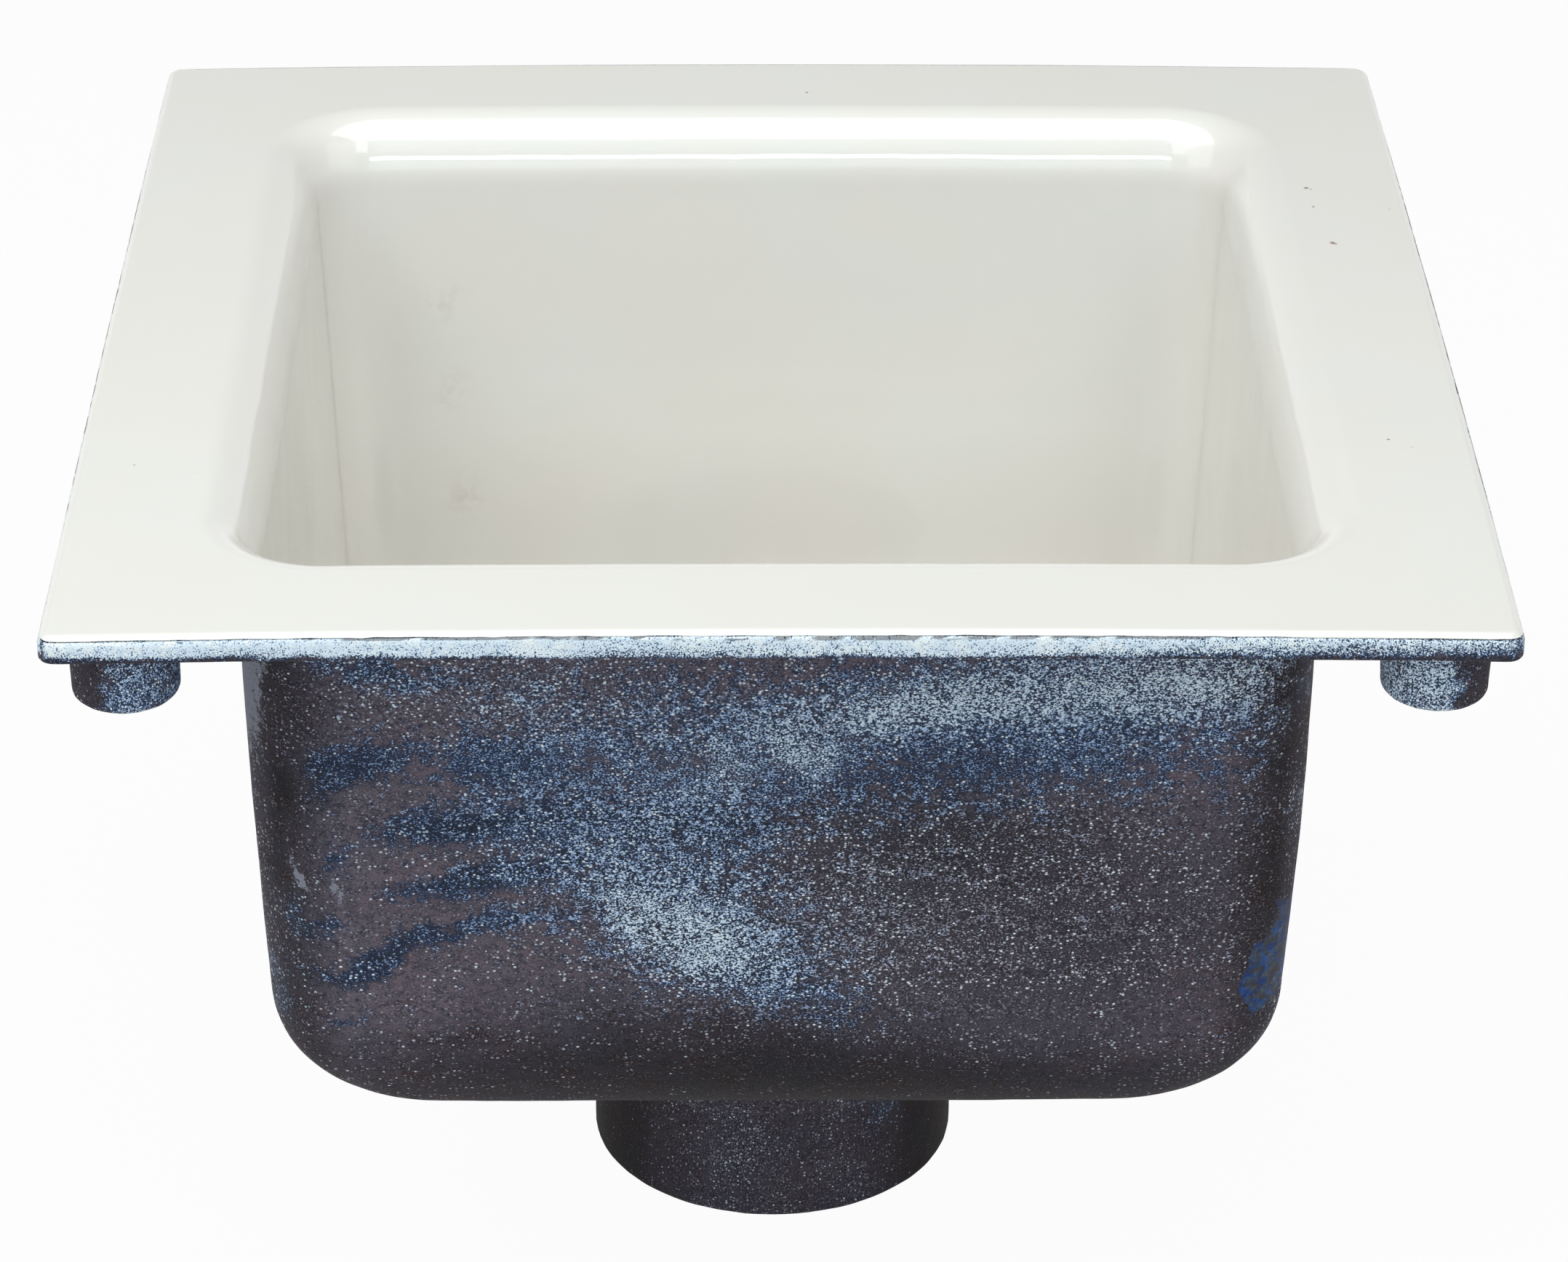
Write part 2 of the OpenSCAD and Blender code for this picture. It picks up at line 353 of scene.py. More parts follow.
def coat_rings():
    """Loops round the coat's section: its top, the basin, the seat and throat, and its back."""
    rings = [edge_level(ROLL_R, turn) for turn in np.linspace(ROLL_END, 0, 12)]
    lip_start = OPENING_HALF + LIP_W
    inner_corner = BASIN_CORNER + LIP_W
    flat_start = HALF - ROLL_R
    flat_edge = flat_start, FLANGE_CORNER - ROLL_R, TOP
    rings += ruled(flat_edge, (lip_start, inner_corner, TOP), 13)[:-1]
    rings += basin_rings(0, 84, 22, 13, 6)
    throat = [(SEAT_R + 3 * MM, FLOOR_Z)]
    throat += [(SEAT_R + out, FLOOR_Z - down) for out, down in rounding(SEAT_EDGE, 4)]
    throat += [(SEAT_R - cut, LEDGE + rise) for cut, rise in (
        (0, SEAT_FOOT), (0.3 * SEAT_FOOT, 0.3 * SEAT_FOOT), (SEAT_FOOT, 0))]
    throat += [(BORE_R + out, LEDGE - down) for out, down in rounding(SEAT_EDGE, 4)]
    throat += [(BORE_R, COAT_END + THROAT_EDGE), (BORE_R + THROAT_EDGE, COAT_END)]
    throat += [(BORE_R + COAT, COAT_END), (BORE_R + COAT, BOWL_BOTTOM)]
    throat += [(SEAT_R + COAT, BOWL_BOTTOM), (SEAT_R + COAT, FLOOR_Z - COAT)]
    rings += [circle(radius, height, LEVEL_POINTS) for radius, height in throat]
    rings += basin_rings(COAT, 10, 4, 8, 3)[::-1]
    rings.append(level(flat_start, FLANGE_CORNER, IRON_TOP))
    rings += [edge_level(roll_radius(turn), turn) for turn in np.linspace(0.3, ROLL_END, 5)]
    return rings


def coat_relief(points, normals):
    """How deep the coat's slow waves, orange peel and the lip's sag go at each point."""
    down = TOP - points[:, 2]
    reach = side_reach(points)
    on_top = step(normals[:, 2], 0.9, 1) * step(reach, 115 * MM, 120 * MM)
    in_basin = (1 - on_top) * step(reach, SEAT_R, SEAT_R + 10 * MM)
    wave = hills(points, 26 * MM, 1.3, 2) * (0.05 * on_top + 0.1 * in_basin)
    peel = hills(points, 7 * MM, 8.1) * 0.012
    lower_lip = step(down, 5 * MM, 9 * MM) * (1 - step(down, 18 * MM, 30 * MM))
    sag = hills(points * (1, 1, 0.6), 17 * MM, 4.4) * 0.12 * lower_lip
    return (wave + peel + sag * in_basin) * MM


def lip_run(points):
    """Height of the thin run of glaze that stands along each side lip."""
    x, y, z = points.T
    crest = RUN_DEPTH + RUN_WANDER * swell(points * (1, 1, 0), 22 * MM, 3.3, 2)
    beside = step(abs(x), 98 * MM, 106 * MM) * (1 - step(y, 86 * MM, 101 * MM))
    on_lip = side_reach(points) < OPENING_HALF + LIP_W + 0.1 * MM
    return RUN_HEIGHT * np.exp(-((TOP - z - crest) / RUN_HALF) ** 2) * beside * on_lip


def ragged_edge(points):
    """How far the coat's lower edge on the flange's rim strays up or down."""
    z = points[:, 2]
    at_edge = step(side_reach(points), HALF - 1.3 * MM, HALF - 0.6 * MM)
    at_edge = at_edge * step(z, TOP - 3 * MM, TOP - 2 * MM) * (z < TOP - 0.6 * MM)
    stray = swell(points, 4 * MM, 7.7, 3) + 0.6 * swell(points, 17 * MM, 9.1)
    return RAGGED_EDGE * stray * at_edge


def enamel_coat():
    piece = ring_solid("enamel_coat_glaze", coat_rings())
    points, normals = places(piece), directions(piece)
    sunk = coat_relief(points, normals) - lip_run(points)
    moved = points - normals * sunk[:, None]
    moved[:, 2] += ragged_edge(points)
    move(piece, moved)
    return piece


def casting_flange():
    rings = [lip_ring_at(FLANGE_UNDER, COAT)]
    for half in np.linspace(BOWL_HALF, HALF - UNDER_EDGE, 18):
        share = (half - BOWL_HALF) / (HALF - BOWL_HALF)
        corner = BOWL_CORNER + (FLANGE_CORNER - BOWL_CORNER) * share
        rings.append(level(half, corner, FLANGE_UNDER))
    for out, rise in rounding(UNDER_EDGE, 5)[1:]:
        rings.append(level(HALF - out, FLANGE_CORNER - out, FLANGE_UNDER + rise))
    face_low = HALF, FLANGE_CORNER, FLANGE_UNDER + UNDER_EDGE
    rings += ruled(face_low, (HALF, FLANGE_CORNER, TOP - ROLL_R), 5)[:-1]
    rings += [edge_level(roll_radius(turn), turn) for turn in np.linspace(pi / 2, 0, 9)]
    lip_steps = 12
    lip = basin_rings(COAT + COAT_GAP, lip_steps, 1, 1, 1)[:lip_steps + 1]
    rings += [ring for ring in lip if ring[0, 2] > FLANGE_UNDER + RING_GAP]
    piece = ring_solid("casting_flange", rings)
    points = places(piece)
    reach = side_reach(points)
    high = step(points[:, 2], TOP - 2.2 * MM, TOP - 1.4 * MM)
    under_coat = high * step(HALF - reach, 0.0, 0.6 * MM)
    bare = (1 - under_coat) * step(reach, BOWL_HALF, BOWL_HALF + 2 * MM)
    roughen(piece, [(22, 0.16), (6, 0.12), (2.6, 0.1)], bare)
    return piece


def casting_bowl():
    rings = [level(BOWL_HALF + out, BOWL_CORNER + out, FLANGE_UNDER - down)
             for out, down in rounding(ROOT_FILLET, 8)]
    wall_top = FLANGE_UNDER - ROOT_FILLET
    curve_top = BOWL_BOTTOM + BOTTOM_R
    for share in np.linspace(0, 1, 56)[1:]:
        half = BOWL_HALF - BOWL_TAPER * share ** 2
        rings.append(level(half, BOWL_CORNER, wall_top + (curve_top - wall_top) * share))
    low_half = BOWL_HALF - BOWL_TAPER - BOTTOM_R
    for turn in np.linspace(0, pi / 2, 33)[1:]:
        half = low_half + BOTTOM_R * cos(turn)
        rings.append(level(half, BOWL_CORNER, curve_top - BOTTOM_R * sin(turn)))
    root = COLLAR_R + COLLAR_ROOT_R
    rings += ruled((low_half, BOWL_CORNER, BOWL_BOTTOM), (root, root, BOWL_BOTTOM), 11)
    outside = len(rings) * LEVEL_POINTS
    rings.append(circle(SEAT_R + COAT, BOWL_BOTTOM, LEVEL_POINTS))
    rings.append(circle(SEAT_R + COAT, FLOOR_Z - COAT, LEVEL_POINTS))
    inner = basin_rings(COAT, 8, 6, 8, 3)
    rings += [ring for ring in inner[::-1] if ring[0, 2] < FLANGE_UNDER - RING_GAP]
    rings.append(lip_ring_at(FLANGE_UNDER, COAT))
    piece = ring_solid("casting_bowl", rings)
    shown = np.arange(len(places(piece))) < outside
    roughen(piece, [(38, 0.45), (13, 0.16), (5, 0.12)], shown)
    return piece


def casting_outlet():
    """Collar and spigot in one skin of round loops, with cast radii at the steps."""
    profile = [(COLLAR_R + COLLAR_ROOT_R, BOWL_BOTTOM + 0.3 * MM)]
    profile += [(COLLAR_R + out, BOWL_BOTTOM - down) for out, down in rounding(COLLAR_ROOT_R, 9)]
    for height in np.linspace(BOWL_BOTTOM - COLLAR_ROOT_R, SPIGOT_TOP + STEP_R, 12)[1:]:
        profile.append((COLLAR_R, height))
    profile += [(COLLAR_R - cut, SPIGOT_TOP + rise) for rise, cut in rounding(STEP_R, 6)[1:]]
    profile += [(SPIGOT_R + out, SPIGOT_TOP - down) for out, down in rounding(STEP_R, 6)]
    for height in np.linspace(SPIGOT_TOP - STEP_R, STEP_R, 16)[1:]:
        profile.append((SPIGOT_R, height))
    profile += [(SPIGOT_R - cut, rise) for rise, cut in rounding(STEP_R, 6)[1:]]
    profile += [(BORE_R + cut, rise) for rise, cut in rounding(STEP_R, 6)[::-1]]
    profile += [(BORE_R, height) for height in np.linspace(STEP_R, COAT_END, 20)[1:]]
    profile += [(BORE_R + COAT, COAT_END), (BORE_R + COAT, BOWL_BOTTOM - 0.05 * MM)]
    piece = ring_solid("casting_outlet", [circle(radius, height) for radius, height in profile])
    below = step(BOWL_BOTTOM - places(piece)[:, 2], 0, 2 * MM)
    roughen(piece, [(19, 0.35), (5, 0.2), (2.4, 0.1)], below)
    return piece


def casting_lug(node):
    low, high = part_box(node)
    centre = np.array([(low.x + high.x) / 2, (low.y + high.y) / 2, 0])
    radius = (high.x - low.x) / 2
    profile = [(radius + out, high.z - down) for out, down in rounding(LUG_ROOT_R, 7)]
    profile[0] = (profile[0][0], high.z + 0.2 * MM)
    for height in np.linspace(high.z - LUG_ROOT_R, low.z + LUG_EDGE, 9)[1:]:
        share = (high.z - height) / (high.z - low.z)
        profile.append((radius - LUG_TAPER * share, height))
    edge_r = profile[-1][0]
    profile += [(edge_r - cut, low.z + rise) for rise, cut in rounding(LUG_EDGE, 8)[1:]]
    last_r = profile[-1][0]
    profile += [(last_r * share, low.z) for share in (0.8, 0.6, 0.4, 0.2, 0.06)]
    rings = [circle(radius, height, LUG_POINTS) + centre for radius, height in profile]
    piece = capped_solid(node.replace("corner_lug", "casting_lug"), rings)
    below = step(high.z - places(piece)[:, 2], 0, 2 * MM)
    roughen(piece, [(9, 0.3), (3, 0.14), (1.6, 0.07)], below)
    return piece


def drain_holes():
    """Centres of the drain holes: one in the middle, then rings of 6, 12, 18 and so on."""
    found = [(0.0, 0.0)]
    for ring in range(1, DRAIN_RINGS + 1):
        for i in range(6 * ring):
            turn = 2 * pi * i / (6 * ring)
            found.append((RING_PITCH * ring * cos(turn), RING_PITCH * ring * sin(turn)))
    return found


def round_points(centre, radius, count):
    turns = [2 * pi * i / count for i in range(count)]
    x, y = centre
    return [Vector((x + radius * cos(turn), y + radius * sin(turn))) for turn in turns]


def strainer_face(skirts):
    """The flat face inside the rim and round the holes: its points and its triangles."""
    outlines, edges = [], []
    for centre, face_radius, _, _, count in skirts:
        first = len(outlines)
        outlines += round_points(centre, face_radius, count)
        edges += [(first + i, first + (i + 1) % count) for i in range(count)]
    flat, _, triangles, *_ = delaunay_2d_cdt(outlines, edges, [], 0, 1e-7)
    centres = np.array(drain_holes())
    kept = []
    for triangle in triangles:
        middle = np.mean([flat[i] for i in triangle], axis=0)
        if np.hypot(*(centres - middle).T).min() > DRAIN_HOLE_R + 0.5 * HOLE_EDGE:
            kept.append(triangle)
    return flat, kept


def drilled_strainer():
    """A flat disc, joined at its rim and in each hole by a skirt: a rounded edge, a wall and a
    rounded edge. A skirt has a centre, its radius at the faces and between them, the size of
    its edges, and a number of points."""
    radius, top, bottom = strainer_high.x, strainer_high.z, strainer_low.z
    hole_sizes = DRAIN_HOLE_R + HOLE_EDGE, DRAIN_HOLE_R, HOLE_EDGE, HOLE_POINTS
    skirts = [((0, 0), radius - STRAINER_EDGE, radius, STRAINER_EDGE, STRAINER_POINTS)]
    skirts += [(hole, *hole_sizes) for hole in drain_holes()]
    flat, triangles = strainer_face(skirts)
    points = [(p.x, p.y, height) for height in (top, bottom) for p in flat]
    faces = triangles + [[len(flat) + i for i in reversed(t)] for t in triangles]
    turns = [pi / 8, pi / 4, 3 * pi / 8, pi / 2]
    first = 0
    for centre, face_radius, deep_radius, edge, count in skirts:
        levels = [(sin(t), top - edge * (1 - cos(t))) for t in turns]
        levels += [(sin(t), bottom + edge * (1 - cos(t))) for t in reversed(turns)]
        starts = [first, *range(len(points), len(points) + count * len(levels), count)]
        starts.append(len(flat) + first)
        for share, height in levels:
            ring_radius = face_radius + (deep_radius - face_radius) * share
            points += [(p.x, p.y, height) for p in round_points(centre, ring_radius, count)]
        for upper, lower in zip(starts, starts[1:]):
            for i in range(count):
                j = (i + 1) % count
                quad = (upper + i, upper + j, lower + j, lower + i)
                faces.append(quad if deep_radius < face_radius else quad[::-1])
        first += count
    piece = piece_from("strainer_disc", np.array(points), faces)
    sharpen(piece)
    return piece


def sharpen(piece):
    """Keeps the broad flat faces flat under smooth shading."""
    weight = piece.modifiers.new("weighted", "WEIGHTED_NORMAL")
    weight.keep_sharp = True
    weight.weight = 80


# What the iron's meshes tell its material: pale frit with painted sheen, dark glaze, painted
# shade with some darker glaze, blue coat and scuffs
IRON_FIELDS = ("light", "navy", "dark", "blue", "scuff")

# Where the first three lie on the front, in mm along it and above the spigot's end:
# (along, height, half length, half height, tilt in degrees, amount)
# Frit: pale frit, where the broad diagonal patch and the band under the rim are partly painted
# sheen
FRONT_FRIT_AND_SHEEN = [
    (-23, 124, 35, 17, -33, 0.62), (-24, 123, 22, 9, -30, 0.36), (-22, 142, 50, 30, -30, 0.3),
    (-15, 162, 30, 11, 32, 0.3), (-11, 169, 7, 2.5, -50, 0.3), (6, 167, 9, 3, -45, 0.4),
    (28, 180, 28, 8, 14, 0.45), (62, 185, 54, 11, 4, 0.86), (92, 188, 22, 14, 0, 0.56),
    (72, 202, 42, 9, 0, 0.55), (80, 170, 36, 14, 0, 0.35), (-30, 174, 46, 20, 0, 0.4),
    (10, 130, 30, 20, -30, 0.25), (60, 128, 54, 30, 0, 0.62), (-50, 190, 60, 14, 0, 0.35),
    (44, 152, 44, 14, 0, 0.22), (-70, 186, 30, 10, -8, 0.22), (-60, 116, 24, 16, 0, 0.1),
    (-84, 150, 34, 60, 0, 0.2),
]
FRONT_NAVY = [
    (-93, 166, 11, 4.6, 22, 1.4), (-86, 190, 18, 4, -5, 0.9), (-60, 168, 13, 6, 5, 0.8),
    (-68, 152, 19, 3.2, 6, 1.3), (-66, 138, 17, 3.2, 12, 1.3), (-96, 142, 3.6, 3, 0, 1.0),
    (-85, 118, 16, 3.2, 24, 1.6), (-99, 125, 3.2, 3, 0, 1.0), (-60, 127, 9, 2.2, 8, 0.8),
    (-94, 101, 6, 2.0, 15, 0.7), (-105, 127, 2.6, 6, 0, 0.8), (-28, 168, 44, 30, 0, 0.62),
    (-28, 152, 24, 4, 2, 0.5), (-22, 128, 34, 20, -28, 0.75), (62, 184, 56, 16, 3, 0.85),
    (0, 112, 24, 9, -30, 0.5), (20, 160, 34, 14, 0, 0.25), (62, 168, 48, 13, 0, 0.5),
]
# Dark: painted shade at the turning edges and low curve, and darker glaze along the navy streaks
FRONT_DARK = [
    (-93, 165, 11, 4.0, 22, 0.55), (-68, 152, 18, 2.8, 6, 0.5), (-66, 138, 16, 2.8, 12, 0.5),
    (-85, 118, 15, 2.8, 24, 0.55), (-71, 96, 11, 2.2, 0, 0.5), (-26, 99, 32, 7, -4, 0.6),
    (34, 84, 76, 9, 0, 0.6), (-60, 90, 34, 5, 0, 0.25), (112, 166, 4.4, 40, 0, 1.1),
    (112, 126, 3.5, 20, 0, 0.8), (-113, 132, 4.6, 30, 0, 0.9), (0, 66, 140, 17, 0, 1.5),
    (-30, 86, 60, 9, 0, 0.5), (-14, 151, 26, 5, 10, 0.2), (40, 148, 34, 9, 0, 0.3),
    (-100, 180, 12, 10, 0, 0.25), (12, 94, 26, 8, 0, 0.3), (62, 126, 54, 28, 0, 0.75),
    (-20, 128, 40, 26, -28, 0.4), (30, 150, 30, 14, 0, 0.35), (-113, 150, 4, 60, 0, 0.8),
    (115, 140, 4, 60, 0, 0.8),
]

# The same for the blue and the scuffs at the front's two ends, for the smudges on the
# enamel's back wall, and for the glaze on the outlet's front
EDGE_BLUE = [(114, 118, 5.0, 8, 0, 1.3), (108.5, 108, 6.0, 7, 0, 1.3)]
EDGE_SCUFF = [
    (-117, 187, 6, 24, 0, 1.1), (-104, 138, 0.9, 5, 20, 1.0), (-96, 135, 0.8, 3, 15, 1.0),
]
BACK_SMUDGES = [(-82, 172, 4, 3, 20, 1), (-80, 148, 4, 2.5, 30, 1), (-78, 118, 5, 4, 0, 0.8)]
OUTLET_NAVY = [(26, 34, 9, 20, 0, 1.0)]

# How fast every patch fades, and where those of the other sides lie, drawn from this seed
SPOT_FADE = 0.9
SPOT_SEED = 11
SPOT_REACH = 105
SPOT_LOW, SPOT_HIGH = 85, 200

# Patches of each other side: (how many, half length, half height, amount)
OTHER_SPOTS = dict(
    light=(5, 42, 16, 0.8), navy=(12, 20, 7, 0.9), dark=(9, 14, 4, 0.45), blue=(1, 4, 6, 0.8),
    scuff=(3, 3, 6, 0.7),
)

# Small rust specks on the flange's top, in mm from its centre: (to the right, back, radius)
RUST_SPECKS = [
    (128.7, 72.6, 0.55), (129.8, 72.0, 0.3), (129.3, 61.4, 0.35), (131.7, 40.3, 0.6),
    (132.3, 39.7, 0.4), (133.3, -63.7, 0.35), (138.2, -67.6, 0.25), (131.4, -107.9, 0.4),
    (147.4, 60.1, 0.25), (-138.9, 116.5, 0.35), (9.4, 131.6, 0.35),
]


def blobs(along, height, spots):
    """Soft ellipses, each with its own tilt, added up."""
    total = np.zeros(len(along))
    for right, up, length, depth, tilt, amount in spots:
        turn = radians(tilt)
        across, above = along - right * MM, height - up * MM
        lengthwise = (across * cos(turn) + above * sin(turn)) / (length * MM)
        crosswise = (above * cos(turn) - across * sin(turn)) / (depth * MM)
        total += amount * np.exp(-(lengthwise ** 2 + crosswise ** 2) * SPOT_FADE)
    return total


def random_spots(rng, count, length, depth, amount):
    """Like patches for a side that the photograph doesn't show."""
    spots = []
    for _ in range(count):
        spots.append((
            rng.uniform(-SPOT_REACH, SPOT_REACH), rng.uniform(SPOT_LOW, SPOT_HIGH),
            length * rng.uniform(0.5, 1.5), depth * rng.uniform(0.6, 1.5),
            rng.uniform(-25, 25), amount * rng.uniform(0.6, 1),
        ))
    return spots


def side_fields(points):
    """Frit with painted sheen, navy, dark with painted shade, blue and scuff for the bowl, side
    by side round it.
    """
    rng = np.random.default_rng(SPOT_SEED)
    x, y, z = points.T
    # The patches wander with a slow noise, so that no outline is a plain ellipse
    bend = 5 * MM * swell(points, 16 * MM, 3.1, 2)
    sway = 3 * MM * swell(points, 13 * MM, 6.2, 2)
    total = {name: np.zeros(len(points)) for name in IRON_FIELDS}
    sides = [(0, -1), (1, 0), (0, 1), (-1, 0)]
    for number, (out_x, out_y) in enumerate(sides):
        outward = x * out_x + y * out_y
        along = x * -out_y + y * out_x
        facing = step(outward - abs(along), -6 * MM, 6 * MM)
        if number == 0:
            spots = dict(light=FRONT_FRIT_AND_SHEEN, navy=FRONT_NAVY, dark=FRONT_DARK)
        else:
            spots = {name: random_spots(rng, *sizes) for name, sizes in OTHER_SPOTS.items()}
        for name, found in spots.items():
            total[name] += facing * blobs(along + bend, z + sway, found)
    # The run of blue and the scuffs go round the front corners
    front = step(-y, 78 * MM, 96 * MM)
    total["blue"] += front * blobs(x + 0.3 * bend, z + sway, EDGE_BLUE)
    total["scuff"] += front * blobs(x + 0.3 * bend, z + sway, EDGE_SCUFF)
    # Painted shade where the bowl's rounded vertical corners turn from the lamps
    corner = step(np.minimum(abs(x), abs(y)), 94 * MM, 106 * MM)
    total["dark"] += 0.75 * corner
    return total


# Materials

class Graph:
    """A node tree with short calls for the nodes that this scene uses."""

    def __init__(self, tree):
        self.tree = tree
        tree.nodes.clear()

    def feed(self, socket, value):
        if isinstance(value, bpy.types.NodeSocket):
            self.tree.links.new(value, socket)
        else:
            socket.default_value = (*value, 1) if socket.type == "RGBA" else value

    def node(self, kind, settings=None, **inputs):
        made = self.tree.nodes.new(kind)
        for key, value in (settings or {}).items():
            setattr(made, key, value)
        for key, value in inputs.items():
            self.feed(made.inputs[key.replace("_", " ")], value)
        return made

    def math(self, operation, first, second=0.0):
        made = self.node("ShaderNodeMath", {"operation": operation})
        self.feed(made.inputs[0], first)
        self.feed(made.inputs[1], second)
        return made.outputs[0]

    def times(self, first, second):
        return self.math("MULTIPLY", first, second)

    def over(self, value, bar):
        """How far a value lies over a bar."""
        return self.math("SUBTRACT", value, bar)

    def total(self, first, *others):
        """The sum of numbers."""
        for other in others:
            first = self.math("ADD", first, other)
        return first

    def swing(self, noise_value, size):
        """A noise's swing about its middle, so many times larger."""
        return self.times(self.over(noise_value, 0.5), size)

    def mix(self, share, first, second):
        made = self.node("ShaderNodeMix", {"data_type": "RGBA"})
        self.feed(made.inputs[0], share)
        self.feed(made.inputs[6], first)
        self.feed(made.inputs[7], second)
        return made.outputs[2]

    def step(self, value, low, high, start=0.0, end=1.0):
        made = self.node("ShaderNodeMapRange", {"interpolation_type": "SMOOTHSTEP"}, Value=value)
        for index, number in enumerate((low, high, start, end), 1):
            self.feed(made.inputs[index], number)
        return made.outputs[0]

    def coords(self, stretch=(1, 1, 1)):
        """Places on the object in mm, squeezed by stretch."""
        found = self.node("ShaderNodeTexCoord").outputs["Object"]
        scale = tuple(s / MM for s in stretch)
        return self.node("ShaderNodeMapping", Vector=found, Scale=scale).outputs[0]

    def noise(self, coords, size, detail=2.0, rough=0.5, twist=0.0):
        made = self.node("ShaderNodeTexNoise", Vector=coords, Scale=1 / size, Detail=detail,
                         Roughness=rough, Distortion=twist)
        return made.outputs[0]

    def cells(self, coords, size):
        """Cells of that size: the distance from each one's point, and its three random numbers."""
        made = self.node("ShaderNodeTexVoronoi", Vector=coords, Scale=1 / size)
        apart = self.node("ShaderNodeSeparateColor", Color=made.outputs["Color"])
        return made.outputs["Distance"], list(apart.outputs)

    def field(self, name):
        return self.node("ShaderNodeAttribute", {"attribute_name": name}).outputs["Fac"]

    def bump(self, height, strength, distance):
        made = self.node("ShaderNodeBump", Height=height, Strength=strength, Distance=distance)
        return made.outputs[0]


def new_material(name):
    made = bpy.data.materials.new(name)
    made.use_nodes = True
    return made, Graph(made.node_tree)


def surface(g, **inputs):
    shader = g.node("ShaderNodeBsdfPrincipled", **inputs)
    g.node("ShaderNodeOutputMaterial", Surface=shader.outputs[0])


def grey(value):
    return (value, value, value)


def iron_skin(g, stretch):
    """The mesh's fields and the noises, which all layers of the iron's skin read."""
    coords = g.coords(stretch)
    fields = {name: g.field(name) for name in IRON_FIELDS}
    mottle = g.noise(coords, 5.5, 3, 0.6, 0.4)
    ragged = g.noise(coords, 1.9, 3, 0.65)
    grain = g.noise(coords, 0.38, 2, 0.6)
    # Dark glaze over the matt ground, with a broken edge
    reach = g.total(fields["navy"], g.swing(mottle, 1.3), g.swing(ragged, 2.0))
    glaze = g.step(reach, 0.15, 0.95)
    return SimpleNamespace(
        coords=coords, mottle=mottle, ragged=ragged, grain=grain, glaze=glaze, **fields)


def iron_ground(g, skin):
    """Matt brown iron with rust and runs of dark glaze, darkened by painted shade where the dark
    field says; under thick frit it goes dark blue, then lifts to a painted blue sheen.
    """
    tone = g.step(g.noise(skin.coords, 24), 0.35, 0.65)
    ground = g.mix(tone, (0.129, 0.113, 0.147), (0.15, 0.116, 0.14))
    ground = g.mix(g.step(skin.ragged, 0.38, 0.62), ground, (0.086, 0.074, 0.092))
    rusty = g.total(g.swing(skin.mottle, 0.9), g.swing(skin.ragged, 0.7), g.times(skin.dark, 0.1))
    ground = g.mix(g.times(g.step(rusty, 0.16, 0.24), 0.7), ground, (0.105, 0.052, 0.046))
    tone = g.step(skin.mottle, 0.4, 0.62)
    glaze_colour = g.mix(tone, (0.014, 0.026, 0.064), (0.022, 0.036, 0.08))
    colour = g.mix(skin.glaze, ground, glaze_colour)
    # Dark blue between the drops under thick frit, lifting to a painted blue sheen where thickest
    colour = g.mix(g.step(skin.light, 0.5, 1.3, 0, 0.75), colour, (0.03, 0.05, 0.095))
    colour = g.mix(g.step(skin.light, 1.4, 2.2), colour, (0.16, 0.23, 0.36))
    # Painted shade from the dark field, times the darker pits of the grain
    pits = g.step(skin.grain, 0.3, 0.52, 0.4, 1.15)
    shade = g.times(g.math("POWER", 0.3, skin.dark), pits)
    shaded = g.node("ShaderNodeVectorMath", {"operation": "SCALE"}, Vector=colour, Scale=shade)
    return shaded.outputs[0]


def frit_drops(g, skin, colour):
    """Droplets of frit, denser on the glaze and run together where the frit lies thick; there they
    turn white as painted sheen, and they dim under painted shade. Also says where they are glassy."""
    light, glaze = skin.light, skin.glaze
    lower = g.total(g.times(glaze, 0.03), g.times(light, 0.13),
                    g.swing(skin.ragged, 0.3), g.swing(skin.mottle, 0.1))
    rise = g.over(g.total(skin.grain, lower), 0.645)
    low = g.mix(glaze, (0.14, 0.125, 0.165), (0.085, 0.145, 0.29))
    low = g.mix(g.step(light, 1.2, 1.8), low, (0.54, 0.7, 0.91))
    high = g.mix(glaze, (0.46, 0.43, 0.51), (0.44, 0.58, 0.84))
    high = g.mix(g.step(light, 0.4, 1.6), high, (0.72, 0.84, 1.0))
    high = g.mix(g.step(light, 0.8, 1.4), high, (0.83, 0.93, 1.0))
    white = g.times(g.step(light, 1.3, 1.6), g.step(skin.mottle, 0.42, 0.6))
    high = g.mix(white, high, (0.96, 1, 1))
    drop = g.mix(g.step(rise, 0.02, 0.15), low, high)
    drop = g.mix(g.step(skin.dark, 0.5, 1.5, 0, 0.7), drop, (0.085, 0.075, 0.085))
    glassy = g.times(g.step(rise, 0.02, 0.12), g.step(light, 0.1, 0.7))
    return g.mix(g.step(rise, -0.01, 0.04), colour, drop), glassy


